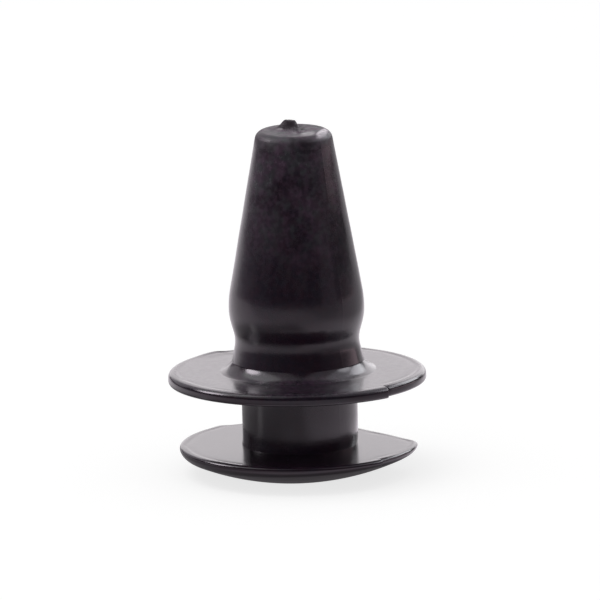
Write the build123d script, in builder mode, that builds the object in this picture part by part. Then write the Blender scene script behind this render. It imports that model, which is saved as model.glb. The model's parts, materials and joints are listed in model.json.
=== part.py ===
from build123d import *
from math import acos, atan2, degrees, hypot, sqrt
import os

# Plastic push rivet, moulded in one piece. From the foot upwards it is a domed head with
# one flat side, a short shank, a wide round flange and a long tapered nose. The nose is
# pushed through a panel's hole until its neck sits in the hole and the flange lies on the
# panel; the trim it carries has a keyhole slot that slides over the shank, between the
# flange and the head.
#
# Frame: millimetres, +Z up the nose, origin on the rivet's axis at the foot of the head.
# The head's flat faces +X. The mould's two halves met in the plane X = 0 and didn't quite
# match: in each disc the half away from the flat reaches further, and stands out a little
# more where it met the other half.

# Head
HEAD_REACH = 9.28  # axis to the rim, square to the parting plane
HEAD_RISE = 0.12  # how much further the rim stands out at the parting plane
HEAD_SHORTFALL = 0.08  # how much less the half with the flat reaches
HEAD_FLAT = 6.85  # axis to the flat side
HEAD_THICKNESS = 2.28
HEAD_EDGE = 0.12  # bevel of the rim's upper edge
FLAT_CORNER = 0.35  # rounding where the flat meets the rim
DOME_RADIUS = 19.9  # the underside's ball, which the floor plane cuts off at the foot
DOME_SHIFT = 0.4  # how far the ball's middle lies from the axis, away from the flat
FOOT_RADIUS = 4.0

# Shank
SHANK_RADIUS = 4.5
SLOT_GAP = 4.95  # clear height between the head and the flange
SHANK_BEVEL = 0.15  # where the shank meets the discs

# Flange
FLANGE_REACH = 10.08  # axis to the rim, square to the parting plane
FLANGE_RISE = 0.22  # how much further the rim stands out at the parting plane
FLANGE_SHORTFALL = 0.22  # how much less the half on the side of the head's flat reaches
FLANGE_THICKNESS = 0.87
FLANGE_EDGE = 0.34  # rounding of the rim's upper edge
FLANGE_BEVEL = 0.25  # bevel of the rim's lower edge

# Nose, with heights measured from the top of the flange
NECK_BASE_RADIUS = 5.45  # where the neck's flare would reach the flange
NECK_FILLET = 0.7
WAIST_RADIUS = 4.82  # the neck at its narrowest, which sits in the panel's hole
WAIST_HEIGHT = 2.17
BULGE_RADIUS = 5.26  # the shoulder that snaps through the hole
BULGE_HEIGHT = 5.07
TIP_RADIUS = 2.9
NOSE_HEIGHT = 18.82
TIP_EDGE = 0.75  # rounding of the tip

# Gate stub, left where the runner was torn off the tip
GATE_LENGTH = 1.35
GATE_WIDTH = 0.95
GATE_HEIGHT = 0.75
GATE_X = 0.37
GATE_Y = 0.93
GATE_TURN = -40  # degrees from +X to the stub's long axis
GATE_DRAFT = 14

# Levels along the axis
flange_bottom = HEAD_THICKNESS + SLOT_GAP
flange_top = flange_bottom + FLANGE_THICKNESS
waist_level = flange_top + WAIST_HEIGHT
bulge_level = flange_top + BULGE_HEIGHT
tip_level = flange_top + NOSE_HEIGHT
dome_centre = sqrt(DOME_RADIUS**2 - FOOT_RADIUS**2)

# The neck's S-shaped side is two equal arcs that meet half-way between waist and bulge.
s_rise = BULGE_HEIGHT - WAIST_HEIGHT
s_depth = BULGE_RADIUS - WAIST_RADIUS
s_curve = (s_rise**2 + s_depth**2) / (4 * s_depth)
s_middle = ((WAIST_RADIUS + BULGE_RADIUS) / 2, (waist_level + bulge_level) / 2)

# Above the bulge the same curve turns in until it meets the straight taper to the tip.
tip_across = TIP_RADIUS - (BULGE_RADIUS - s_curve)
tip_above = NOSE_HEIGHT - BULGE_HEIGHT
taper_angle = degrees(atan2(tip_above, tip_across) - acos(s_curve / hypot(tip_across, tip_above)))


def half_outline(reach, corner):
    """Close the outline of half a disc that lies on one side of the parting plane, X = 0."""
    rim = ThreePointArc((0, -corner), (reach, 0), (0, corner))
    Line(rim @ 1, rim @ 0)


# Each disc's two halves, before they are joined
with BuildPart() as head_half:
    with BuildSketch():
        with BuildLine():
            half_outline(-HEAD_REACH, HEAD_REACH + HEAD_RISE)
        make_face()
    extrude(amount=HEAD_THICKNESS)
    chamfer(head_half.edges().filter_by(GeomType.CIRCLE).sort_by(Axis.Z)[-1], HEAD_EDGE)

with BuildPart() as head_flat_half:
    with BuildSketch():
        with BuildLine():
            half_outline(HEAD_REACH - HEAD_SHORTFALL, HEAD_REACH - HEAD_SHORTFALL)
        make_face()
        with Locations((HEAD_FLAT, 0)):
            Rectangle(HEAD_REACH, 2 * HEAD_REACH, align=(Align.MIN, Align.CENTER), mode=Mode.SUBTRACT)
    extrude(amount=HEAD_THICKNESS)
    flat_face = head_flat_half.faces().sort_by(Axis.X)[-1]
    fillet(flat_face.edges().filter_by(Axis.Z), FLAT_CORNER)
    top_edges = head_flat_half.faces().sort_by(Axis.Z)[-1].edges()
    chamfer(top_edges.sort_by(Axis.X)[1:], HEAD_EDGE)

with BuildPart() as flange_half:
    with BuildSketch(Plane.XY.offset(flange_bottom)):
        with BuildLine():
            half_outline(-FLANGE_REACH, FLANGE_REACH + FLANGE_RISE)
        make_face()
    extrude(amount=FLANGE_THICKNESS)
    rim_edges = flange_half.edges().filter_by(GeomType.CIRCLE).sort_by(Axis.Z)
    fillet(rim_edges[-1], FLANGE_EDGE)
    chamfer(rim_edges[0], FLANGE_BEVEL)

with BuildPart() as flange_short_half:
    with BuildSketch(Plane.XY.offset(flange_bottom)):
        with BuildLine():
            half_outline(FLANGE_REACH - FLANGE_SHORTFALL, FLANGE_REACH - FLANGE_SHORTFALL)
        make_face()
    extrude(amount=FLANGE_THICKNESS)
    rim_edges = flange_short_half.edges().filter_by(GeomType.CIRCLE).sort_by(Axis.Z)
    fillet(rim_edges[-1], FLANGE_EDGE)
    chamfer(rim_edges[0], FLANGE_BEVEL)

with BuildPart() as rivet:
    # Head, whose underside is part of a ball
    add(head_half)
    add(head_flat_half)
    with Locations((-DOME_SHIFT, 0, dome_centre)):
        Sphere(DOME_RADIUS, mode=Mode.INTERSECT)

    # Flange
    add(flange_half)
    add(flange_short_half)

    # Shank, bevelled into both discs
    with BuildSketch(Plane.XY.offset(HEAD_THICKNESS)):
        Circle(SHANK_RADIUS)
    extrude(amount=SLOT_GAP)
    shank_side = rivet.faces(Select.LAST).filter_by(GeomType.CYLINDER)[0]
    chamfer(shank_side.edges().filter_by(GeomType.CIRCLE), SHANK_BEVEL)

    # Nose, on a foot within the flange so that the neck's fillet can be drawn with the rest
    with BuildSketch(Plane.XZ) as side:
        with BuildLine():
            base = (NECK_BASE_RADIUS, flange_top)
            waist = (WAIST_RADIUS, waist_level)
            bulge = (BULGE_RADIUS, bulge_level)
            tip_corner = (TIP_RADIUS, tip_level)
            foot_reach = NECK_BASE_RADIUS + 2 * NECK_FILLET
            Polyline(tip_corner, (0, tip_level), (0, flange_bottom), (foot_reach, flange_bottom),
                     (foot_reach, flange_top), base)
            TangentArc(waist, base, tangent=(0, -1))
            TangentArc(waist, s_middle, tangent=(0, 1))
            TangentArc(bulge, s_middle, tangent=(0, -1))
            shoulder = JernArc(bulge, tangent=(0, 1), radius=s_curve, arc_size=taper_angle)
            Line(shoulder @ 1, tip_corner)
        make_face()
        fillet(side.vertices().sort_by_distance(base)[0], NECK_FILLET)
        fillet(side.vertices().sort_by_distance(tip_corner)[0], TIP_EDGE)
    revolve(axis=Axis.Z)

    # Gate stub on the tip
    with BuildSketch(Plane.XY.offset(tip_level)):
        with Locations((GATE_X, GATE_Y)):
            Ellipse(GATE_LENGTH / 2, GATE_WIDTH / 2, rotation=GATE_TURN)
    extrude(amount=GATE_HEIGHT, taper=GATE_DRAFT)

rivet.part.label = "rivet"
os.makedirs("parts", exist_ok=True)
export_step(rivet.part, "parts/rivet.step")
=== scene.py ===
# %% [markdown]
# # A plastic push rivet
# The part is a trim rivet, moulded in one shot of dark glossy plastic: a domed head with one flat side, a
# short shank, a thin flange, and a long tapered nose with the torn stub of its gate on the tip. The solid
# model gives the sizes. This lesson makes the skin that a camera sees: one closed mesh, its plastic, and a
# small studio round it.

# %% Load the frame
import json
from math import acos, atan2, cos, degrees, hypot, pi, radians, sin, sqrt, tan

import bmesh
import bpy
import numpy as np
from mathutils import Matrix, Vector, noise


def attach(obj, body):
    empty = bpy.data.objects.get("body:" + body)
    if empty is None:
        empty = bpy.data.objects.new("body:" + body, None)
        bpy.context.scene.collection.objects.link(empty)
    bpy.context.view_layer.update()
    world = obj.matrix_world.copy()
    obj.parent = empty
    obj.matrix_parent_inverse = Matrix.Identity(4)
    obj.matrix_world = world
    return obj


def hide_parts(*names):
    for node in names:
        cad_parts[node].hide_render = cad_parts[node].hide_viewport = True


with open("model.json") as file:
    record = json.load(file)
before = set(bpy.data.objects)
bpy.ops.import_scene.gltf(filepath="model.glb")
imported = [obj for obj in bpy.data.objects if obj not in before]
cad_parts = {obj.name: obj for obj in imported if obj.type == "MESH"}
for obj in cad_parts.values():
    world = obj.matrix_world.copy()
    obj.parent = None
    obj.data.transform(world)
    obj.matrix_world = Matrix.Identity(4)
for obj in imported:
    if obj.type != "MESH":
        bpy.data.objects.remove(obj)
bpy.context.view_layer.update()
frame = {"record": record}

MM = 0.001

# %% [markdown]
# ## The camera
# It stands at azimuth -40 degrees, about 11 degrees above the horizon, far back with a long lens, so the
# rivet has almost no perspective. A hand-held shot is never quite level, and a small roll says so.

# %% Camera
AZIMUTH = radians(-40)
ELEVATION = radians(10.97)
ROLL = radians(1.2)
DISTANCE = 465.1 * MM
LENS_TO_SENSOR = 10.0
AIM_HEIGHT = 13.575 * MM
AIM_RIGHT = 0.245 * MM

to_right = Vector((cos(AZIMUTH), sin(AZIMUTH), 0))
to_back = Vector((-sin(AZIMUTH), cos(AZIMUTH), 0))
to_camera = cos(ELEVATION) * -to_back + Vector((0, 0, sin(ELEVATION)))
aim = AIM_RIGHT * to_right + Vector((0, 0, AIM_HEIGHT))

camera = bpy.data.objects.new("camera", bpy.data.cameras.new("camera"))
bpy.context.scene.collection.objects.link(camera)
camera.data.sensor_width = 36
camera.data.lens = 36 * LENS_TO_SENSOR
camera.location = aim + DISTANCE * to_camera
level = (-to_camera).to_track_quat("-Z", "Y").to_matrix()
camera.rotation_euler = (level @ Matrix.Rotation(-ROLL, 3, "Z")).to_euler()
bpy.context.scene.camera = camera
print("camera at, mm:", [round(v / MM, 1) for v in camera.location])

# %% [markdown]
# ## Sizes
# The sizes follow the solid model's, in millimetres, with small differences where a thin skin can show a
# finer edge or a truer curve. The level that other parts rely on most, the face that lies on the panel, is
# read from the record's mounts and not written again.

# %% Sizes
mounts = {mount["name"]: mount for mount in frame["record"]["mounts"]}
flange_top = mounts["panel_face"]["pos_m"][2] / MM

HEAD_REACH, HEAD_CORNER, HEAD_SHORT, HEAD_FLAT = 9.33, 9.45, 9.2, 6.85
HEAD_THICKNESS, HEAD_EDGE, HEAD_LOW_EDGE, FLAT_CORNER = 2.28, 0.24, 0.3, 0.35
DOME_RADIUS, DOME_SHIFT, FOOT_RADIUS = 20.8, 0.45, 4.1
SHANK_RADIUS, SHANK_FILLET, SHANK_FOOT, SHANK_SUPPORT = 4.5, 0.2, 0.005, 0.03
FLANGE_REACH, FLANGE_CORNER, FLANGE_SHORT = 10.08, 10.28, 9.85
FLANGE_THICKNESS, FLANGE_EDGE, FLANGE_LOW_EDGE = 0.87, 0.42, 0.2
FOOT_RISE, FOOT_STEEP, FOOT_EASY = 0.8, 60, 22
CREASE_EDGE = 0.05
FLARE_TURN = 12.5
WAIST_RADIUS, WAIST_HEIGHT, WAIST_CURVE = 4.82, 2.45, 2.5
BULGE_RADIUS, BULGE_HEIGHT, BULGE_CURVE, SHOULDER_CURVE = 5.26, 5.0, 4.6, 8.0
TIP_RADIUS, NOSE_HEIGHT, TIP_EDGE = 2.9, 18.82, 0.55

flange_bottom = flange_top - FLANGE_THICKNESS
waist_level = flange_top + WAIST_HEIGHT
bulge_level = flange_top + BULGE_HEIGHT
tip_level = flange_top + NOSE_HEIGHT
print("levels, mm:", [round(v, 2) for v in (HEAD_THICKNESS, flange_bottom, flange_top, tip_level)])

# %% [markdown]
# ## Outlines
# Every ring of the mesh is a radius for each of a few hundred directions. The discs aren't round: the two
# halves of the mould didn't quite match, so each disc has a small step where they met, and the head has a
# flat towards +X. The directions are denser at the steps and at the flat's corners.

# %% Directions round the axis
EVEN_DIRECTIONS = 280
FRONT_SEAM, BACK_SEAM = -87.4, 90.0
SEAM_STEPS = (0, 0.1, 0.25, 0.45, 0.7, 1.0, 1.4, 1.9, 2.5)
flat_half_angle = degrees(acos(HEAD_FLAT / HEAD_SHORT))
close = {seam + side * step for seam in (FRONT_SEAM, BACK_SEAM) for side in (-1, 1) for step in SEAM_STEPS}
close |= {side * flat_half_angle + step for side in (-1, 1) for step in np.arange(-2.5, 2.6, 0.5)}
even = {k * 360 / EVEN_DIRECTIONS - 180 for k in range(EVEN_DIRECTIONS)}
spread = [a for a in even if min(abs(a - b) for b in close) > 0.4]
angles = np.array(sorted(close | set(spread)))
theta = np.radians(angles)
east, north = np.cos(theta), np.sin(theta)
COUNT = len(theta)
print("directions:", COUNT)


# %% Small helpers
def smooth(low, high, value):
    """0 below low, 1 above high, and a smooth step between."""
    t = np.clip((value - low) / (high - low), 0, 1)
    return t * t * (3 - 2 * t)


def bump(value, middle, width):
    """A soft bump of height 1."""
    return np.exp(-(((value - middle) / width) ** 2))


def soft_min(a, b, blend):
    """The lesser of two lengths, with the corner between them rounded over a blend."""
    gap = np.clip((blend - np.abs(a - b)) / blend, 0, 1)
    return np.minimum(a, b) - gap**2 * blend / 4


def wobble(detail, seed):
    """Smooth noise round the axis, within about -0.5 and 0.5."""
    return np.array([noise.noise(Vector((detail * e, detail * n, seed))) for e, n in zip(east, north)])


# %% Outline of a disc
def past_seam(seam, before, after):
    """0 before a seam and 1 past it, with a blend of so many degrees on each side."""
    return smooth(seam - before, seam + after, angles)


long_share = 1 - past_seam(FRONT_SEAM, 0.4, 0.4) + past_seam(BACK_SEAM, 3, 2)


def arc_outline(reach, corner):
    """Polar radius of an arc from (0, -corner) to (0, corner) that bulges to -reach."""
    radius = (reach**2 + corner**2) / (2 * reach)
    shift = radius - reach
    along_east = shift * east
    return along_east + np.sqrt(radius**2 - shift**2 + along_east**2)


def disc_outline(long_reach, corner, short_reach, seed):
    """The long half's arc and the short half's circle, with a little unevenness."""
    outline = short_reach + (arc_outline(long_reach, corner) - short_reach) * long_share
    return outline + 0.02 * wobble(2.2, seed) - 0.01


# %% Rims of the head and the flange
# Each swell is a height in millimetres, then its middle and its width in degrees.
FLAT_SWELL = (0.1, -20, 10)
HEAD_LIP = (0.12, BACK_SEAM + 3, 4)
HEAD_DIP = (-0.35, BACK_SEAM - 11, 8)
FLANGE_NICK = (-0.08, FRONT_SEAM + 1, 0.8)
FLANGE_SWELL = (0.08, -42, 24)
FLANGE_LIFT = (0.08, BACK_SEAM + 2, 10)
FAR_OUT = 1e3


def swell(height, middle, width):
    """A soft swell in one stretch of a rim."""
    return height * bump(angles, middle, width)


flat_line = np.where(east > 0.05, (HEAD_FLAT + swell(*FLAT_SWELL)) / np.maximum(east, 0.05), FAR_OUT)
head_round = disc_outline(HEAD_REACH, HEAD_CORNER, HEAD_SHORT, 3.1) + swell(*HEAD_LIP) + swell(*HEAD_DIP)
head_rim = soft_min(head_round, flat_line, FLAT_CORNER)
flange_rim = disc_outline(FLANGE_REACH, FLANGE_CORNER, FLANGE_SHORT, 7.7)
flange_rim += swell(*FLANGE_NICK) + swell(*FLANGE_SWELL)
flange_lift = swell(*FLANGE_LIFT)
print("head rim, mm:", head_rim.min().round(2), head_rim.max().round(2))
print("flange rim, mm:", flange_rim.min().round(2), flange_rim.max().round(2))

# %% [markdown]
# ## The skin, ring by ring
# The whole rivet is a single surface that starts at the foot's middle and ends at the tip's middle. It
# could be turned with a Screw modifier, but then every ring would be round. Stacking rings in code lets
# the discs keep their own outlines while the shank and nose stay round.

# %% Ring helpers
rings = []
worn_and_highlit = {}


def ring(radius, height):
    """Add one ring. Both values may be one number or one number for each direction."""
    rings.append(tuple(np.broadcast_to(value, COUNT).astype(float) for value in (radius, height)))


def wear_and_highlight(amount):
    """Mark the latest ring's wear and painted highlight, by an amount for each direction."""
    worn_and_highlit[len(rings) - 1] = np.broadcast_to(amount, COUNT)


def last_ring():
    """The latest ring's radius and height, where both are plain numbers."""
    return float(rings[-1][0][0]), float(rings[-1][1][0])


def across(start, end, count):
    """Rings on the straight way between two (radius, height) pairs, without the first one."""
    for k in range(1, count + 1):
        t = k / count
        ring(start[0] + (end[0] - start[0]) * t, start[1] + (end[1] - start[1]) * t)


def rounded(start, corner, end, count):
    """Rings round a corner, on a quarter of an ellipse that starts and ends along the corner's sides."""
    for k in range(1, count + 1):
        t = radians(90 * k / count)
        a, c = 1 - sin(t), 1 - cos(t)
        b = 1 - a - c
        ring(a * start[0] + b * corner[0] + c * end[0], a * start[1] + b * corner[1] + c * end[1])


def turned(centre, radius, first, last, count):
    """Rings along an arc of the profile, from one angle to another, in degrees."""
    for k in range(1, count + 1):
        angle = radians(first + (last - first) * k / count)
        ring(centre[0] + radius * cos(angle), centre[1] + radius * sin(angle))


# %% Raised thread
BEAD = 0.022
# Middle and width of the crest and of the dip, measured inwards from the edge.
CREST, DIP = (0.14, 0.12), (0.45, 0.16)
HEAD_THREAD = (0.1, 0.2, 0.3, 0.42, 0.55, 0.75, 1.0)
FLANGE_THREAD = (0.08, 0.16, 0.25, 0.35, 0.45, 0.6, 0.8, 1.05, 1.4)


def bead(inward, seed):
    """Heights of the raised thread inside a disc's upper edge: a crest, then a dip, both uneven."""
    amount = 0.6 + 1.1 * wobble(5.0, seed)
    return amount * BEAD * (bump(inward, *CREST) - bump(inward, *DIP))


print("rings under the threads:", len(HEAD_THREAD), "and", len(FLANGE_THREAD))

# %% [markdown]
# ## The head
# The head is the end that stays outside and holds the trim, with a shallow ball-shaped underside. It could
# be a sphere cut by planes with a Boolean, but that leaves ragged faces along the flat. Here each ring
# takes its height from the ball's formula, so the faces follow the outline, flat side and all.

# %% Head: domed underside, rim and upper face
FOOT_START, FOOT_MARGIN = 0.15, 0.6
DOME_RINGS = 23
LEFT_EDGE = 0.18


def dome(radius):
    """Height of the ball-shaped underside, for one radius in each direction."""
    away = (radius * east + DOME_SHIFT) ** 2 + (radius * north) ** 2
    lift = sqrt(DOME_RADIUS**2 - FOOT_RADIUS**2)
    return np.maximum(lift - np.sqrt(DOME_RADIUS**2 - away), 0)


ring(FOOT_START, 0.0)
foot_out = FOOT_RADIUS - FOOT_MARGIN
across((FOOT_START, 0), (foot_out, 0), 6)
leftward = -np.cos(theta - AZIMUTH)
low_edge = HEAD_LOW_EDGE + LEFT_EDGE * smooth(0, 0.8, leftward)
edge_in = head_rim - low_edge
for step in range(1, DOME_RINGS + 1):
    out = foot_out + (edge_in - foot_out) * step / DOME_RINGS
    ring(out, dome(out))
top_wall = HEAD_THICKNESS - HEAD_EDGE
low_wall = np.minimum(dome(head_rim) + 0.8 * low_edge, top_wall - 0.03)
rounded((edge_in, dome(edge_in)), (head_rim, dome(head_rim)), (head_rim, low_wall), 7)
across((head_rim, low_wall), (head_rim, top_wall), 2)
top_in = head_rim - HEAD_EDGE
rounded((head_rim, top_wall), (head_rim, HEAD_THICKNESS), (top_in, HEAD_THICKNESS), 6)
# The thread's crest inside the head's rim is marked for wear and a painted highlight, a lighter line.
for inward in HEAD_THREAD:
    ring(top_in - inward, HEAD_THICKNESS + bead(inward, 5.5))
    wear_and_highlight(bump(inward, *CREST) * (0.45 + 1.2 * wobble(7.0, 2.5)))
shank_foot = SHANK_RADIUS + SHANK_FOOT
across((top_in - HEAD_THREAD[-1], HEAD_THICKNESS), (shank_foot + SHANK_SUPPORT, HEAD_THICKNESS), 10)
ring(shank_foot, HEAD_THICKNESS)
print("rings of the head:", len(rings))

# %% [markdown]
# ## The shank and the flange
# The trim's slot slides over the shank, and the flange lies on the panel. A Bevel modifier would round the
# flange's edges evenly, but a moulded edge is a little different all the way round. Rings let the edge,
# the raised thread behind it and its wear and painted highlight change with the direction. A ring close
# to each side of the shank's sharp foot keeps smooth shading from spreading over the corner.

# %% Shank and flange
# Middle and width of the wear and painted highlight inside the flange's rim, measured inwards.
FLANGE_WEAR_AND_HIGHLIGHT = (0.06, 0.1)
turned((shank_foot, HEAD_THICKNESS + SHANK_FOOT), SHANK_FOOT, -90, -180, 3)
ring(SHANK_RADIUS, HEAD_THICKNESS + SHANK_FOOT + SHANK_SUPPORT)
across(last_ring(), (SHANK_RADIUS, flange_bottom - SHANK_FILLET), 14)
shank_head = SHANK_RADIUS + SHANK_FILLET
turned((shank_head, flange_bottom - SHANK_FILLET), SHANK_FILLET, 180, 90, 5)
flange_in = flange_rim - FLANGE_EDGE
low_in = flange_rim - FLANGE_LOW_EDGE
lifted_low, lifted_top = flange_bottom + flange_lift, flange_top + flange_lift
wall_low, wall_high = lifted_low + FLANGE_LOW_EDGE, lifted_top - FLANGE_EDGE
across((shank_head, flange_bottom), (low_in, lifted_low), 10)
rounded((low_in, lifted_low), (flange_rim, lifted_low), (flange_rim, wall_low), 7)
across((flange_rim, wall_low), (flange_rim, wall_high), 2)
rounded((flange_rim, wall_high), (flange_rim, lifted_top), (flange_in, lifted_top), 9)
# The thread's crest inside the flange's rim is marked for wear and a painted highlight, a lighter line.
for inward in FLANGE_THREAD:
    settled = flange_lift * (1 - inward / FLANGE_THREAD[-1])
    ring(flange_in - inward, flange_top + settled + bead(inward, 9.5))
    wear_and_highlight(bump(inward, *FLANGE_WEAR_AND_HIGHLIGHT) * (0.75 + 1.4 * wobble(7.0, 8.5)))
print("rings up to the flange's face:", len(rings))

# %% [markdown]
# ## The neck, the shoulder and the taper
# The neck sits in the panel's hole, and the shoulder above it is what snaps through. Their side is a chain
# of arcs and straight lines that meet smoothly, as a mould maker draws it. A spline pulled by hand could
# look the same, but nobody could read its radii. The neck ends below in a crease, and from there a hollow
# foot runs out to the flange and catches the light.

# %% Where the curves meet
s_rise, s_depth = bulge_level - waist_level, BULGE_RADIUS - WAIST_RADIUS
s_both = BULGE_CURVE + WAIST_CURVE
s_straight = sqrt((s_both - s_depth) ** 2 + s_rise**2 - s_both**2)
s_turn = degrees(atan2(s_both, s_straight) + atan2(s_depth - s_both, s_rise))
waist_centre = (WAIST_RADIUS + WAIST_CURVE, waist_level)
flare_end = waist_level - WAIST_CURVE * sin(radians(FLARE_TURN))
foot_top = flange_top + FOOT_RISE
flare_slope = tan(radians(FLARE_TURN))
flare_out = WAIST_CURVE * (1 - cos(radians(FLARE_TURN))) + (flare_end - foot_top) * flare_slope
crease = WAIST_RADIUS + flare_out
print("turn between waist and shoulder, degrees:", round(s_turn, 1), " crease at, mm:", round(crease, 2))

# %% Hollow foot, neck and shoulder
FOOT_RINGS = 20
steep, easy = radians(FOOT_STEEP), radians(FOOT_EASY)
foot_side = FOOT_RISE / (sin(steep) + sin(easy))
foot_bend = (crease + foot_side * cos(steep), foot_top - foot_side * sin(steep))
foot_reach = foot_bend[0] + foot_side * cos(easy)
across((flange_in - FLANGE_THREAD[-1], flange_top), (foot_reach + CREASE_EDGE, flange_top), 8)
for step in range(FOOT_RINGS + 1):
    t = step / FOOT_RINGS
    a, b, c = (1 - t) ** 2, 2 * t * (1 - t), t**2
    ring(a * foot_reach + b * foot_bend[0] + c * crease, a * flange_top + b * foot_bend[1] + c * foot_top)
ring(crease - CREASE_EDGE * flare_slope, foot_top + CREASE_EDGE)
across(last_ring(), (waist_centre[0] - WAIST_CURVE * cos(radians(FLARE_TURN)), flare_end), 5)
turned(waist_centre, WAIST_CURVE, -180 + FLARE_TURN, -180 - s_turn, 12)
bulge_in = BULGE_CURVE * (1 - cos(radians(s_turn)))
bulge_down = BULGE_CURVE * sin(radians(s_turn))
across(last_ring(), (BULGE_RADIUS - bulge_in, bulge_level - bulge_down), 6)
turned((BULGE_RADIUS - BULGE_CURVE, bulge_level), BULGE_CURVE, -s_turn, 0, 8)
print("hollow foot reaches, mm:", round(foot_reach, 2), " rings up to the shoulder:", len(rings))

# %% Straight taper and the tip's edge
tip_across = TIP_RADIUS - (BULGE_RADIUS - SHOULDER_CURVE)
tip_above = NOSE_HEIGHT - BULGE_HEIGHT
taper_turn = degrees(atan2(tip_above, tip_across) - acos(SHOULDER_CURVE / hypot(tip_across, tip_above)))
turned((BULGE_RADIUS - SHOULDER_CURVE, bulge_level), SHOULDER_CURVE, 0, taper_turn, 8)
shoulder = last_ring()
slope = Vector((TIP_RADIUS - shoulder[0], tip_level - shoulder[1])).normalized()
edge_low = (TIP_RADIUS - slope.x * TIP_EDGE, tip_level - slope.y * TIP_EDGE)
tip_flat = TIP_RADIUS - TIP_EDGE
across(shoulder, edge_low, 40)
rounded(edge_low, (TIP_RADIUS, tip_level), (tip_flat, tip_level), 12)
print("rings up to the tip:", len(rings))

# %% [markdown]
# ## Small unevenness
# No moulding is a perfect solid of revolution. The plastic shrinks as it cools, so the nose's side is very
# slightly wavy, it leans by a hair, and a thread-thin ridge runs up the shank and nose where the mould's
# halves met. A bump map could fake this. It is real shape here, because gloss shows it in reflections.

# %% Waves and parting ridge
WAVE, WAVE_DETAIL, WAVE_LENGTH = 0.016, 1.4, 2.6
RIDGE, RIDGE_WIDTH = 0.008, 0.7
SHANK_LEAN, NOSE_LEAN, TIP_LEAN = 0.055, 0.04, 0.045


def uneven(radius, height):
    """Radii of one ring with the waves and the ridge, which fade out over the discs."""
    mean = float(height.mean())
    above_flange = smooth(flange_top + 0.5, flange_top + 1.5, mean)
    body = float(above_flange * (1 - smooth(tip_level - 0.5, tip_level, mean)))
    shank = float((mean > HEAD_THICKNESS + 0.15) and (mean < flange_bottom - 0.15))
    waves = wobble(WAVE_DETAIL, mean / WAVE_LENGTH)
    ridge = bump(angles, FRONT_SEAM, RIDGE_WIDTH) + bump(angles, BACK_SEAM, RIDGE_WIDTH)
    return radius + (body + 0.5 * shank) * WAVE * waves + (body + shank) * RIDGE * ridge


def leaned(x, y, height):
    """Move a ring's points: shank and nose stand a hair off the axis, and the tip's face leans."""
    mean = float(np.mean(height))
    nose = float(smooth(flange_top + 0.4, flange_top + 2.5, mean))
    above_head = smooth(HEAD_THICKNESS, HEAD_THICKNESS + 0.3, mean)
    shank = float(above_head * (1 - smooth(flange_bottom - 0.3, flange_bottom, mean)))
    nose_lean = NOSE_LEAN * nose * float(np.interp(mean, (bulge_level, tip_level), (1.0, -0.3)))
    shift = (SHANK_LEAN * shank - nose_lean) * to_right
    back = x * to_back.x + y * to_back.y
    lean = TIP_LEAN * float(smooth(tip_level - 1.4, tip_level, mean)) * back
    return np.stack([x + shift.x, y + shift.y, height + lean], axis=1)


profile = []
for radius, height in rings:
    radius = uneven(radius, height)
    profile.append(leaned(radius * east, radius * north, height))
print("rings with unevenness:", len(profile))

# %% [markdown]
# ## The tip and its gate stub
# The plastic came in through the tip. When the runner was torn off it left a small stub, and a shallow
# scar in front of it. The tip's rings shift their middle from the axis to the stub on the way in, so that
# most of them lie where the shape is fine. Heights then come from one function of the place.

# %% Heights on the tip
GATE_PLACE = (-0.3, 1.15)
GATE_RISE = 0.52
GATE_LEFT, GATE_RIGHT, GATE_DEEP = 0.92, 0.74, 0.55
TEAR = 0.035
# Each scar is its place to the right and to the back, its size in both directions, and its height.
SCARS = (
    (0.38, -0.55, 0.36, 0.6, -0.17),
    (0.12, -0.05, 0.22, 0.35, -0.07),
    (0.62, 0.25, 0.2, 0.3, -0.08),
    (0.62, -0.35, 0.16, 0.5, 0.06),
    (0.5, -1.5, 0.25, 0.3, 0.05),
    (-0.05, 0.55, 0.45, 0.25, 0.05),
    (-0.9, 0.9, 0.6, 0.8, 0.1),
    (-0.6, -0.2, 0.1, 0.9, -0.02),
    (1.1, -0.4, 0.3, 0.5, -0.03),
    (1.5, 0.6, 0.35, 0.4, 0.03),
)


def tip_relief(right, back):
    """Height of the stub and the scars over the tip's face, at a place in the camera's directions."""
    gx = right - GATE_PLACE[0]
    gx = np.where(gx < 0, gx / GATE_LEFT, gx / GATE_RIGHT)
    gy = (back - GATE_PLACE[1]) / GATE_DEEP
    steep = 0.3 + 0.25 * smooth(-0.6, 0.8, gx)
    stub = GATE_RISE * (1 - smooth(steep, 1.05, np.sqrt(gx**2 + gy**2)))
    scars = sum(h * bump(right, r, wr) * bump(back, b, wb) for r, b, wr, wb, h in SCARS)
    return stub + scars


def torn(points):
    """Fine tearing on the stub and scar, strongest near the gate."""
    out = []
    for right, back in points:
        near = float(bump(right, 0.0, 1.0) * bump(back, 0.5, 1.2))
        coarse = noise.noise(Vector((right * 5.5, back * 2.2, 0.3)))
        fine = noise.noise(Vector((right * 12, back * 5, 4.4)))
        out.append(TEAR * near * (coarse + 0.5 * fine))
    return np.array(out)


print("scars:", len(SCARS))

# %% Tip rings
TIP_RINGS = 50
TIP_CROWDING, TIP_SETTLE = 1.3, 8
tip_points = []
for step in range(1, TIP_RINGS):
    share = 1 - step / TIP_RINGS
    pull = float(1 - smooth(0.0, 1.0, share))
    middle = (GATE_PLACE[0] * to_right + GATE_PLACE[1] * to_back) * pull
    radius = tip_flat * share**TIP_CROWDING
    x, y = middle.x + radius * east, middle.y + radius * north
    right = x * to_right.x + y * to_right.y
    back = x * to_back.x + y * to_back.y
    settle = 1 - share**TIP_SETTLE
    height = tip_level + settle * (tip_relief(right, back) + torn(zip(right, back)))
    tip_points.append(leaned(x, y, height))
tip_top = max(float(points[:, 2].max()) for points in tip_points)
print("tip rings:", len(tip_points), " stub's top, mm:", round(tip_top, 2))
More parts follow.
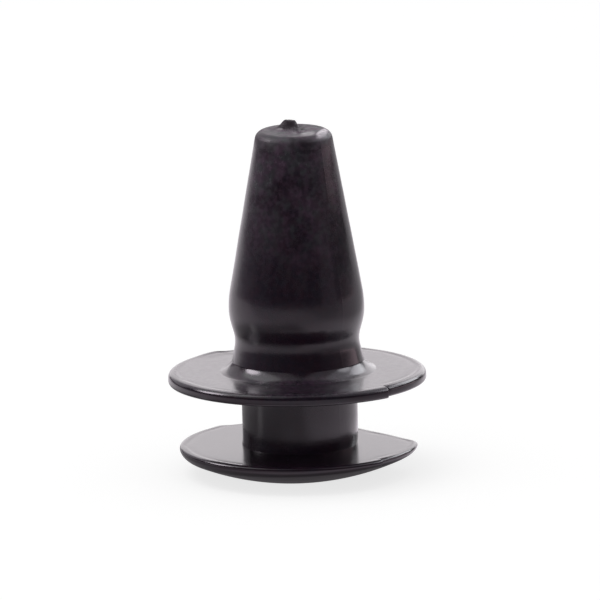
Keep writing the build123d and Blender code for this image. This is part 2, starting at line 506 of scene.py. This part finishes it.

# %% [markdown]
# ## From rings to a mesh
# Four-sided faces join each ring to the next, and a fan of triangles closes each end. Written as code, the
# order of the vertices is known, so each ring's wear and painted highlight can be stored beside them as an
# attribute that the material reads.

# %% Build the mesh
layers = profile + tip_points
gate_middle = (GATE_PLACE[0] + 0.3 * NOSE_LEAN) * to_right + GATE_PLACE[1] * to_back
gate_top = float(tip_points[-1][:, 2].mean())

skin = bmesh.new()
grid = [[skin.verts.new(Vector(p) * MM) for p in layer] for layer in layers]
foot_pole = skin.verts.new((0, 0, 0))
tip_pole = skin.verts.new(Vector((gate_middle.x, gate_middle.y, gate_top)) * MM)
for lower, upper in zip(grid, grid[1:]):
    for k in range(COUNT):
        n = (k + 1) % COUNT
        skin.faces.new((lower[k], lower[n], upper[n], upper[k]))
for k in range(COUNT):
    n = (k + 1) % COUNT
    skin.faces.new((foot_pole, grid[0][n], grid[0][k]))
    skin.faces.new((tip_pole, grid[-1][k], grid[-1][n]))
mesh = bpy.data.meshes.new("rivet_skin")
skin.to_mesh(mesh)
skin.free()
mesh.shade_smooth()
# The rims' wear and their painted highlight are stored as one attribute.
wear_highlight_layer = mesh.attributes.new("wear_and_highlight", "FLOAT", "POINT")
wear_highlight_values = np.zeros(len(mesh.vertices))
for number, amount in worn_and_highlit.items():
    wear_highlight_values[number * COUNT:(number + 1) * COUNT] = np.clip(amount, 0, 1)
wear_highlight_layer.data.foreach_set("value", wear_highlight_values)
rivet = bpy.data.objects.new("rivet_skin", mesh)
bpy.context.scene.collection.objects.link(rivet)
triangles = sum(len(p.vertices) - 2 for p in mesh.polygons)
print("skin triangles:", triangles)

# %% [markdown]
# ## Shader maths
# A material is a graph of nodes. Written as nodes it is hard to read, so one small class wraps a socket
# and lets Python's operators make the Math nodes.


# %% Socket class
class Wire:
    """An output socket with Python's operators, and a method that makes any other node."""

    tree = None

    def __init__(self, socket):
        self.socket = socket

    @classmethod
    def node(cls, kind, settings=None, **inputs):
        """Make a node, set it up, then set or link its inputs by name, or by number as in _0."""
        made = cls.tree.nodes.new(kind)
        for key, value in (settings or {}).items():
            setattr(made, key, value)
        for key, value in inputs.items():
            name = int(key[1:]) if key[1:].isdigit() else key.replace("_", " ")
            cls.feed(made.inputs[name], value)
        return made

    @classmethod
    def feed(cls, socket, value):
        if isinstance(value, Wire):
            cls.tree.links.new(value.socket, socket)
        else:
            socket.default_value = value

    @classmethod
    def math(cls, operation, *values):
        made = cls.node("ShaderNodeMath", {"operation": operation})
        for socket, value in zip(made.inputs, values):
            cls.feed(socket, value)
        return cls(made.outputs[0])

    def __add__(self, other):
        return self.math("ADD", self, other)

    def __sub__(self, other):
        return self.math("SUBTRACT", self, other)

    def __mul__(self, other):
        return self.math("MULTIPLY", self, other)

    def __truediv__(self, other):
        return self.math("DIVIDE", self, other)

    def __radd__(self, other):
        return self.math("ADD", other, self)

    def __rsub__(self, other):
        return self.math("SUBTRACT", other, self)

    def __rmul__(self, other):
        return self.math("MULTIPLY", other, self)

    def __rtruediv__(self, other):
        return self.math("DIVIDE", other, self)


# %% Shader helpers
def new_material(name):
    """An empty node material, which the next nodes go into."""
    material = bpy.data.materials.new(name)
    material.use_nodes = True
    material.node_tree.nodes.clear()
    Wire.tree = material.node_tree
    return material


def shade_step(value, low, high, start=0.0, end=1.0):
    """A smooth step of a wire, from start at low to end at high."""
    made = Wire.node("ShaderNodeMapRange", {"interpolation_type": "SMOOTHSTEP"}, Value=value,
                     From_Min=low, From_Max=high, To_Min=start, To_Max=end)
    return Wire(made.outputs[0])


def mixed(share, first, second):
    """A colour between two others, by a share from 0 to 1."""
    made = Wire.node("ShaderNodeMix", {"data_type": "RGBA"}, _0=share, _6=first, _7=second)
    return Wire(made.outputs[2])


def along(vector, direction):
    """How far a place lies along a direction."""
    made = Wire.node("ShaderNodeVectorMath", {"operation": "DOT_PRODUCT"}, _0=vector, _1=direction)
    return Wire(made.outputs["Value"])


def speckle(place, grain, detail=2.0, stretch=(1, 1, 1)):
    """Noise whose grains are about so many metres across, stretched by a factor on each axis."""
    sized = Wire.node("ShaderNodeVectorMath", {"operation": "MULTIPLY"}, _0=place, _1=stretch)
    made = Wire.node("ShaderNodeTexNoise", Vector=Wire(sized.outputs[0]), Scale=1 / grain, Detail=detail)
    return Wire(made.outputs[0])


# %% [markdown]
# ## Material: dark glossy plastic
# The plastic is almost black, with a touch of plum. What makes it look moulded is its thin haze: fine
# wear and dust that scatter a little light. It comes in clouds, it is stronger towards the tip and on the
# discs, and it dulls the gloss where it lies. Along the rims of the discs it also carries a painted
# highlight, a lighter line. A painted image could hold it, but noise by place needs no unwrapping and
# fits any size. So one haze value drives both the colour and the roughness.

# %% Haze over the surface, with the rims' painted highlight
# The haze grows between two heights in metres, from a small share of itself.
HAZE_RISE, HAZE_LEAST = (0.012, 0.026), 0.14
FACE_RISE, FACE_LEAST = (0.003, 0.006), 0.2
plastic = new_material("dark_glossy_plastic")
place = Wire(Wire.node("ShaderNodeTexCoord").outputs["Object"])
height = along(place, (0, 0, 1))
clouds = shade_step(speckle(place, 3.2 * MM, 3.0), 0.4, 0.64)
blotches = shade_step(speckle(place, 0.42 * MM, 3.0), 0.38, 0.66)
streaks = shade_step(speckle(place, 0.45 * MM, 2.0, (1, 1, 0.12)), 0.42, 0.66)
upward = shade_step(height, *HAZE_RISE, HAZE_LEAST, 1.0)
normal = Wire(Wire.node("ShaderNodeNewGeometry").outputs["Normal"])
facing_up = shade_step(along(normal, (0, 0, 1)), 0.5, 0.95)
dusty = clouds * 0.5 + blotches * 0.4 + streaks * 0.1
# The rims' wear adds to the haze, and so paints a lighter highlight line along the edges.
edge_wear_highlight = Wire(Wire.node("ShaderNodeAttribute", {"attribute_name": "wear_and_highlight"}).outputs["Fac"])
on_disc = facing_up * shade_step(height, *FACE_RISE, FACE_LEAST, 1.0)
haze_and_highlight = dusty * upward + on_disc * (0.14 + 0.25 * blotches) + edge_wear_highlight * 0.6
print("nodes for the haze:", len(plastic.node_tree.nodes))

# %% [markdown]
# ## Scuffed tip, with a painted highlight
# Handling dulls the tip's face first, and a few spots on it are rubbed smooth again. One of them, on the
# tip's rim, also carries a painted highlight: a pale patch in the colour. The gate's stub is torn
# plastic, darker and rougher. Each spot is a soft ellipse given by its place on the tip, because a few
# such masks are easier to read and to move than a painted texture.

# %% Scuffed tip and torn gate
tip_place = tip_level * MM
on_top = shade_step(height, tip_place - 0.25 * MM, tip_place + 0.02 * MM)
gate_spot = (GATE_PLACE[0] * to_right + GATE_PLACE[1] * to_back) * MM
gate_spot.z = tip_place
from_gate = Wire.node("ShaderNodeVectorMath", {"operation": "DISTANCE"}, _0=place, _1=gate_spot)
near_tip = shade_step(height, tip_place - 1.4 * MM, tip_place - 0.4 * MM)
gate_mask = shade_step(Wire(from_gate.outputs["Value"]), 0.5 * MM, 1.7 * MM, 1.0, 0.0) * on_top
haze_and_highlight = haze_and_highlight + on_top * (0.15 + 0.3 * streaks)
print("nodes with the tip's masks:", len(plastic.node_tree.nodes))

# %% Rubbed spots and the painted highlight
# Each spot is its place to the right and to the back, then its size in both directions, in millimetres.
# The first one also holds the painted highlight, a pale patch in the colour on the tip's rim.
TIP_SHINE = (
    (2.2, -1.0, 0.34, 1.4),
    (1.1, -1.5, 0.5, 1.0),
    (-0.85, 0.3, 0.45, 0.3),
    (0.25, -0.4, 0.25, 0.5),
)
SHINE_SLANT = 0.2
tip_right, tip_back = along(place, to_right) / MM, along(place, to_back) / MM
spots = []
for right, back, width, depth in TIP_SHINE:
    into_spot = (tip_back - back) / depth
    across_spot = (tip_right - right) / width - into_spot * (SHINE_SLANT * depth / width)
    spots.append(shade_step(across_spot * across_spot + into_spot * into_spot, 0.2, 1.6, 1.0, 0.0))
shine = sum(spots[1:], spots[0]) * on_top
on_rim = shade_step(height, tip_place - 0.45 * MM, tip_place - 0.15 * MM)
# The first spot, where it reaches the tip's rim, is a painted highlight: a pale patch in the colour.
painted_highlight = spots[0] * on_rim * (0.5 + 0.5 * blotches)
print("rubbed spots:", len(spots))

# %% [markdown]
# ## Colour, gloss and fine relief
# Two close shades of plum lie in fine and broad patches under the haze. The roughness stays low, so that
# the surroundings show, and rises where the plastic is hazy or scuffed. The fine relief is the faint
# orange peel of a polished mould, the lines along which it was drawn, and the tearing at the gate. It is
# far too shallow for the mesh, so it is left to a Bump node.

# %% Colour
RED_PLUM = (0.0142, 0.0043, 0.0102, 1)
BLUE_PLUM = (0.0082, 0.0053, 0.0120, 1)
# The haze colours also draw the painted highlight along the rims.
MAUVE_HAZE_AND_HIGHLIGHT = (0.072, 0.040, 0.068, 1)
GREY_HAZE_AND_HIGHLIGHT = (0.045, 0.045, 0.052, 1)
GATE_COLOUR = (0.016, 0.009, 0.014, 1)
# Colour of the painted highlight on the tip's rim: a pale patch.
PAINTED_HIGHLIGHT_COLOUR = (0.62, 0.56, 0.62, 1)
fine_mottle = shade_step(speckle(place, 0.45 * MM, 3.0), 0.4, 0.6)
broad_mottle = shade_step(speckle(place, 2.6 * MM, 2.0), 0.4, 0.6)
deep = mixed(fine_mottle * 0.6 + broad_mottle * 0.4, RED_PLUM, BLUE_PLUM)
hue = shade_step(speckle(place, 0.8 * MM, 4.0), 0.36, 0.64)
hazy_and_highlight_colour = mixed(haze_and_highlight, deep, mixed(hue, MAUVE_HAZE_AND_HIGHLIGHT, GREY_HAZE_AND_HIGHLIGHT))
# The painted highlight on the tip's rim lies over all other colour.
colour = mixed(painted_highlight, mixed(gate_mask, hazy_and_highlight_colour, GATE_COLOUR), PAINTED_HIGHLIGHT_COLOUR)
print("nodes with the colour:", len(plastic.node_tree.nodes))

# %% Roughness and fine relief
GLOSS_ROUGHNESS, HAZE_DULLING = 0.19, 0.1
TIP_SCUFF, SHINE_SHARE = 0.24, 0.85
RELIEF_DEPTH = 0.006
dull = near_tip * (TIP_SCUFF + 0.1 * blotches) + on_top * 0.02 + gate_mask * 0.08
roughness = GLOSS_ROUGHNESS + haze_and_highlight * HAZE_DULLING + dull * (1 - SHINE_SHARE * shine)
peel = speckle(place, 0.7 * MM, 2.0) * 0.9 + speckle(place, 0.3 * MM, 2.0) * 0.35
peel = peel * (1 - 0.7 * facing_up)
drawn = speckle(place, 0.3 * MM, 2.0, (1, 1, 0.06)) * 0.25
tearing = speckle(place, 0.16 * MM, 3.0) * (gate_mask * 3.0 + on_top * 1.0)
relief = Wire.node("ShaderNodeBump", Strength=1.0, Distance=RELIEF_DEPTH * MM, Height=peel + drawn + tearing)

print("nodes with the relief:", len(plastic.node_tree.nodes))

# %% Plastic shader
PLASTIC_IOR = 1.5
GLOSS_TINT = (1.0, 0.95, 1.0, 1)
shader = Wire.node("ShaderNodeBsdfPrincipled", Base_Color=colour, Roughness=roughness,
                   Normal=Wire(relief.outputs[0]), IOR=PLASTIC_IOR, Specular_Tint=GLOSS_TINT)
Wire.node("ShaderNodeOutputMaterial", Surface=Wire(shader.outputs[0]))
mesh.materials.append(plastic)
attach(rivet, "root")
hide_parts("rivet")
print("nodes in the plastic:", len(plastic.node_tree.nodes))

# %% [markdown]
# ## Studio
# Dark gloss shows its surroundings more than its colour, so the studio is built first as what the rivet
# sees. It stands on white paper in a tent of dark cloth. Panels near the horizon light the discs and the
# sides of the nose, and round lamps higher up put soft patches on the neck's foot. Tent and lamps show
# only in reflections. Directions here are the camera's: 0 degrees is to the right, 90 to the back, 180 to
# the left. The room itself is plain white light.


# %% Light paths
def seen_directly():
    """Two wires: 1 for camera rays, and 1 for the rays of mirrors and glass."""
    rays = Wire.node("ShaderNodeLightPath").outputs
    mirror = Wire.math("MAXIMUM", Wire(rays["Is Glossy Ray"]), Wire(rays["Is Transmission Ray"]))
    return Wire(rays["Is Camera Ray"]), mirror


# %% World
ROOM_LIGHT = 0.5
WHITE = (1, 1, 1, 1)
world = bpy.data.worlds.new("white_room")
bpy.context.scene.world = world
world.use_nodes = True
world.node_tree.nodes.clear()
Wire.tree = world.node_tree
direct, mirror = seen_directly()
background = Wire.node("ShaderNodeBackground", Color=WHITE)
seen = Wire.math("MAXIMUM", direct, mirror)
Wire.feed(background.inputs["Strength"], ROOM_LIGHT + seen * (1 - ROOM_LIGHT))
Wire.node("ShaderNodeOutputWorld", Surface=Wire(background.outputs[0]))
print("room light:", ROOM_LIGHT)


# %% Stage helpers
def stage_mesh(name, points, faces, materials):
    """A mesh that belongs to the studio and not to the rivet."""
    made = bpy.data.meshes.new(name)
    made.from_pydata(points, [], faces)
    thing = bpy.data.objects.new(name, made)
    bpy.context.scene.collection.objects.link(thing)
    for material in materials:
        made.materials.append(material)
    return thing


def only_in_mirrors(thing):
    """Hide a stage piece from everything but reflections."""
    thing.visible_camera = False
    thing.visible_diffuse = False
    thing.visible_shadow = False


def studio_spot(azimuth, distance, height=0.0):
    """A place in the studio, from the camera's directions."""
    flat = cos(radians(azimuth)) * to_right + sin(radians(azimuth)) * to_back
    return distance * flat + Vector((0, 0, height))


def glowing(name, radiance, colour=(1, 1, 1)):
    """A material that only glows."""
    made = new_material(name)
    glow = Wire.node("ShaderNodeEmission", Color=(*colour, 1), Strength=radiance)
    Wire.node("ShaderNodeOutputMaterial", Surface=Wire(glow.outputs[0]))
    return made


# %% [markdown]
# ## The floor
# The rivet stands on white paper. For the camera the paper glows just enough to render white, and its matte
# surface keeps the soft shadow. In the plastic's reflections it is shaded by place: dark near the rivet,
# but for a lighter ring close round the foot, and dimmer towards the camera and to the sides. Shading it
# is simpler than hanging a card for each side, and changes nothing but the reflections.

# %% How bright the paper is in reflections
# Places are in metres from the rivet's axis, and each pair is where a change starts and where it ends.
UNDER_LEVEL, OPEN_LEVEL = 0.12, 0.92
NEAR_SHADE, FAR_SHADE = 0.024, 0.046
RIGHT_PULL = 2.2
CONTACT_LEVEL, CONTACT_RISE, CONTACT_FALL = 0.7, (0.009, 0.0125), (0.0165, 0.024)
CONTACT_SIDE = (-0.014, -0.006)
FRONT_LEVEL, FRONT_FADE = 0.5, (-0.045, -0.005)
LEFT_LEVEL, LEFT_FADE = 0.9, (-0.12, -0.06)
RIGHT_LEVEL, RIGHT_FADE = 0.45, (0.028, 0.055)
paper = new_material("white_paper")
ground = Wire(Wire.node("ShaderNodeTexCoord").outputs["Object"])
ground_right, ground_back = along(ground, to_right), along(ground, to_back)
away = Wire(Wire.node("ShaderNodeVectorMath", {"operation": "LENGTH"}, _0=ground).outputs["Value"])
nearer = Wire.math("MAXIMUM", ground_right, 0.0) * RIGHT_PULL
openness = shade_step(away + nearer, NEAR_SHADE, FAR_SHADE, UNDER_LEVEL, OPEN_LEVEL)
openness = openness * shade_step(ground_back, *FRONT_FADE, FRONT_LEVEL, 1.0)
openness = openness * shade_step(ground_right, *LEFT_FADE, LEFT_LEVEL, 1.0)
openness = openness * shade_step(ground_right, *RIGHT_FADE, 1.0, RIGHT_LEVEL)
contact = shade_step(away, *CONTACT_RISE) * shade_step(away, *CONTACT_FALL, CONTACT_LEVEL, 0.0)
contact = contact * shade_step(ground_right, *CONTACT_SIDE)
print("paper's nodes for its brightness:", len(paper.node_tree.nodes))

# %% Floor
PAPER_COLOUR = 0.35
CAMERA_GLOW, MIRROR_GLOW = 0.76, 0.9
MIRROR_TINT = (1.0, 0.92, 1.0, 1)
FLOOR_HALF = 3.0
direct, mirror = seen_directly()
paper_level = direct * CAMERA_GLOW + mirror * (contact + openness) * MIRROR_GLOW
tint = mixed(direct, MIRROR_TINT, WHITE)
tinted = Wire.node("ShaderNodeVectorMath", {"operation": "SCALE"}, _0=tint, Scale=paper_level)
matte = Wire.node("ShaderNodeBsdfDiffuse", Color=(PAPER_COLOUR,) * 3 + (1,))
glow = Wire.node("ShaderNodeEmission", Color=Wire(tinted.outputs[0]), Strength=1.0)
both = Wire.node("ShaderNodeAddShader", _0=Wire(matte.outputs[0]), _1=Wire(glow.outputs[0]))
Wire.node("ShaderNodeOutputMaterial", Surface=Wire(both.outputs[0]))
corners = [(-1, -1), (1, -1), (1, 1), (-1, 1)]
stage_mesh("floor", [(x * FLOOR_HALF, y * FLOOR_HALF, 0) for x, y in corners], [(0, 1, 2, 3)], [paper])
print("floor, m:", 2 * FLOOR_HALF)

# %% [markdown]
# ## Tent, panels and lamps
# The tent is a half ball of flat faces, five degrees each, so a panel is just a range of directions with a
# glow of its own. Area lamps could light the rivet as well, but they would also light the paper. Glowing
# faces that only mirrors see shape the reflections and nothing else. The round lamps come in layers, a
# bright one in front of wider and dimmer ones, so that their patches fade out softly.

# %% Panels and lamps
TENT_RADIUS = 1.2
TENT_STEP = 5
CLOTH_GLOW = 0.05
# Each panel is a name, its first and last azimuth, its lowest and highest elevation, radiance and colour.
PANELS = (
    ("back_panel", 85, 110, 0, 45, 1.63, (1.0, 0.96, 0.99)),
    ("back_panel_right", 60, 85, 0, 40, 2.12, (1.0, 0.97, 1.0)),
    ("high_right", 5, 85, 45, 60, 1.3, (0.96, 0.96, 1.0)),
    ("right_side", 0, 40, 0, 10, 1.3, (1.0, 0.78, 0.84)),
    ("right_front", 340, 360, 0, 10, 0.5, (1.0, 0.84, 0.92)),
    ("front_right", 315, 340, 0, 10, 0.32, (1.0, 0.86, 0.96)),
    ("front_low", 220, 315, 0, 5, 0.18, (1.0, 0.88, 1.0)),
    ("front_higher", 220, 315, 5, 10, 0.08, (1.0, 0.88, 1.0)),
    ("left_low", 150, 190, 0, 5, 0.3, (0.95, 0.82, 1.0)),
    ("left_front", 190, 220, 0, 5, 0.2, (0.97, 0.87, 1.0)),
    ("left_higher", 150, 220, 5, 10, 0.16, (0.97, 0.87, 1.0)),
    ("back_left", 110, 150, 0, 10, 0.24, (0.98, 0.84, 1.0)),
    ("left_behind", 110, 145, 10, 50, 0.75, (0.98, 0.94, 1.0)),
)
# Each lamp is a name, azimuth, elevation, half angle, distance, radiance and colour.
LAMPS = (
    ("left_wide", 188, 56, 34, 0.93, 0.5, (0.97, 1.0, 0.98)),
    ("right_wide", 0, 52, 34, 0.93, 0.5, (0.96, 0.96, 1.0)),
    ("left_halo", 168, 53, 22, 0.87, 2.0, (0.94, 1.0, 0.97)),
    ("right_halo", 22, 48, 20, 0.87, 1.3, (0.95, 0.96, 1.0)),
    ("left_lamp", 173, 35, 12, 0.82, 11.0, (1.0, 0.96, 1.0)),
    ("right_lamp", 43, 28, 15, 0.82, 5.2, (0.95, 0.97, 1.0)),
    ("side_lamp", 8, 34, 11, 0.8, 4.6, (0.95, 0.97, 1.0)),
)
print("panels:", len(PANELS), " lamps:", len(LAMPS))

# %% Tent
tent_materials = [glowing("dark_cloth", CLOTH_GLOW)]
tent_materials += [glowing(name, radiance, colour) for name, *_, radiance, colour in PANELS]


def panel_at(azimuth, elevation):
    """Number of the panel in a direction, or 0 for plain cloth."""
    for number, (_, a, b, c, d, _, _) in enumerate(PANELS, start=1):
        if a < azimuth < b and c < elevation < d:
            return number
    return 0


tent_points, tent_faces, tent_panels = [], [], []
for azimuth in range(0, 360, TENT_STEP):
    for elevation in range(0, 90, TENT_STEP):
        first = len(tent_points)
        for a, e in ((0, 0), (1, 0), (1, 1), (0, 1)):
            rise = radians(elevation + e * TENT_STEP)
            spot = studio_spot(azimuth + a * TENT_STEP, TENT_RADIUS * cos(rise), TENT_RADIUS * sin(rise))
            tent_points.append(spot)
        tent_faces.append(tuple(range(first, first + 4)))
        tent_panels.append(panel_at(azimuth + TENT_STEP / 2, elevation + TENT_STEP / 2))
tent = stage_mesh("light_tent", tent_points, tent_faces, tent_materials)
tent.data.polygons.foreach_set("material_index", tent_panels)
only_in_mirrors(tent)
print("tent faces:", len(tent_faces), " bright:", sum(1 for p in tent_panels if p))

# %% Round lamps
LAMP_SIDES = 32
for name, azimuth, elevation, spread_angle, reach, radiance, colour in LAMPS:
    middle = studio_spot(azimuth, reach * cos(radians(elevation)), reach * sin(radians(elevation)))
    side_way = Vector((0, 0, 1)).cross(middle).normalized()
    up_way = middle.cross(side_way).normalized()
    size = reach * tan(radians(spread_angle))
    turns = [2 * pi * k / LAMP_SIDES for k in range(LAMP_SIDES)]
    rim = [middle + size * (cos(t) * side_way + sin(t) * up_way) for t in turns]
    lamp = stage_mesh(name, rim, [tuple(range(LAMP_SIDES))], [glowing(name, radiance, colour)])
    only_in_mirrors(lamp)
print("lamps hung:", len(LAMPS))

# %% [markdown]
# ## Strip and card
# A low grey strip stands on the right, between the rivet and the bright side of the room. It cuts the
# reflection on the nose, which is lighter only above it. A small white card lies on the left, and shows
# as a soft upright streak on the shank. Panels of the tent are too far away for this, because they shine
# on the whole rivet at once.

# %% Grey strip
STRIP_DISTANCE = 0.06
STRIP_TALL = 11.0 * MM
STRIP_GLOW = 0.1
STRIP_ENDS = ((-20, 26.8), (36, 25.6))
STRIP_STEPS = 12
strip_points, strip_faces = [], []
for k in range(STRIP_STEPS + 1):
    share = k / STRIP_STEPS
    azimuth, top = (a + (b - a) * share for a, b in zip(*STRIP_ENDS))
    strip_points += [studio_spot(azimuth, STRIP_DISTANCE, top * MM - STRIP_TALL)]
    strip_points += [studio_spot(azimuth, STRIP_DISTANCE, top * MM)]
    if k:
        strip_faces.append((2 * k - 2, 2 * k, 2 * k + 1, 2 * k - 1))
strip = stage_mesh("grey_strip", strip_points, strip_faces, [glowing("grey_card", STRIP_GLOW)])
only_in_mirrors(strip)
print("strip faces:", len(strip_faces))

# %% White card
CARD_LIFT = 0.2 * MM
CARD_GLOW = 1.1
CARD_CORNERS = ((186, 0.021), (197, 0.021), (194, 0.036), (184, 0.036))
card_points = [studio_spot(azimuth, distance, CARD_LIFT) for azimuth, distance in CARD_CORNERS]
card = stage_mesh("white_card", card_points, [(0, 1, 2, 3)], [glowing("card_white", CARD_GLOW)])
only_in_mirrors(card)
print("card corners:", len(card_points))

# %% [markdown]
# ## One real lamp
# A large soft box lights the plastic's own colour and the haze on it, and throws the soft shadow. It is
# hidden from the camera and from mirrors, because the tent already makes the reflections. A sun would
# give the shadow a hard edge.

# %% Soft box
KEY_AZIMUTH, KEY_DISTANCE, KEY_HEIGHT = 200, 0.3, 1.0
KEY_SIZE, KEY_RADIANCE = 0.8, 1.5
key_light = bpy.data.lights.new("key_box", "AREA")
key_light.size = KEY_SIZE
key_light.energy = KEY_RADIANCE * pi * KEY_SIZE**2
key_box = bpy.data.objects.new("key_box", key_light)
bpy.context.scene.collection.objects.link(key_box)
key_box.location = studio_spot(KEY_AZIMUTH, KEY_DISTANCE, KEY_HEIGHT)
key_box.rotation_euler = (aim - key_box.location).to_track_quat("-Z", "Y").to_euler()
key_box.visible_camera = False
key_box.visible_glossy = False
print("soft box at, m:", [round(v, 2) for v in key_box.location])

# %% Picture settings and the end
bpy.context.scene.view_settings.view_transform = "Standard"
